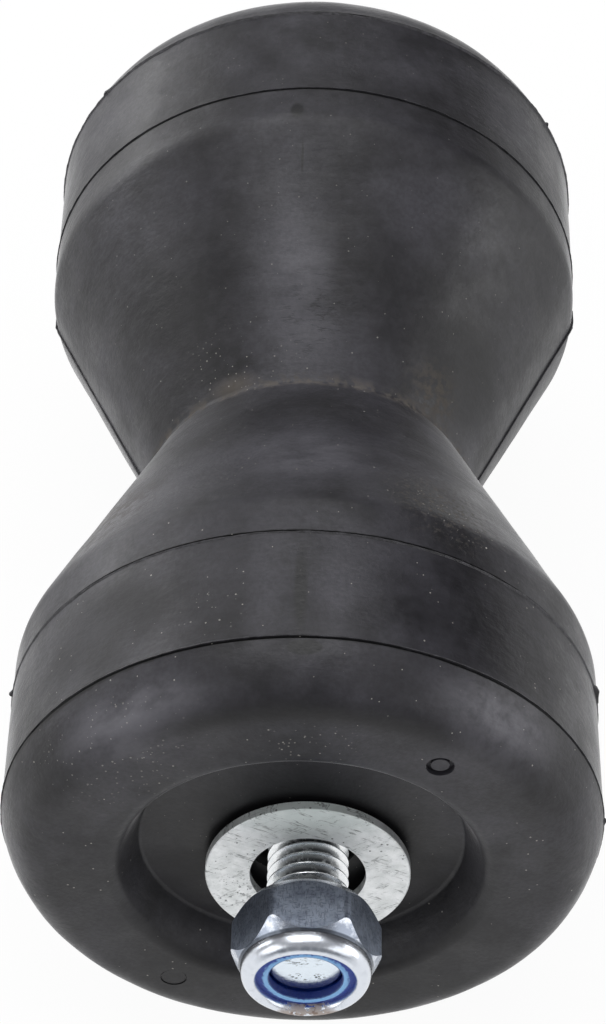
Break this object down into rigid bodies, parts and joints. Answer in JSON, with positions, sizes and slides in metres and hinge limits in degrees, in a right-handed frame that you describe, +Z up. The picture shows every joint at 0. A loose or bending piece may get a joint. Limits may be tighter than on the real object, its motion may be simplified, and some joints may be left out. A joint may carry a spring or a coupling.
{
  "type": "boat trailer roller",
  "caption": "Black rubber hourglass roller that spins on a long zinc-plated bolt, with a recess in each end for a washer, a locking nut and the bolt's head.",
  "frame": {"origin": "on the bolt's axis, halfway along the roller", "axes": "+Y along the bolt from the nut to the head, +Z up with the bolt level, +X to the right as seen from the nut end"},
  "size_m": [0.0876, 0.1697, 0.0876],
  "materials": {
    "rubber_black": "dusty matt",
    "zinc_bolt": "zinc-plated",
    "zinc_nut": "zinc-plated, bluish",
    "nylon_blue": "satin",
    "zinc_washer": "zinc-plated, scratched"
  },
  "bodies": {
    "axle": {"axle_bolt": "zinc_bolt", "lock_nut": "zinc_nut", "nut_insert": "nylon_blue", "nut_washer": "zinc_washer", "head_washer": "zinc_washer"},
    "roller": {"roller": "rubber_black"}
  },
  "joints": [
    {"name": "roller_spin", "type": "hinge", "parent": "axle", "child": "roller", "pos_m": [-0.001, 0, 0.00202], "axis": [0, 1, 0], "continuous": true}
  ]
}
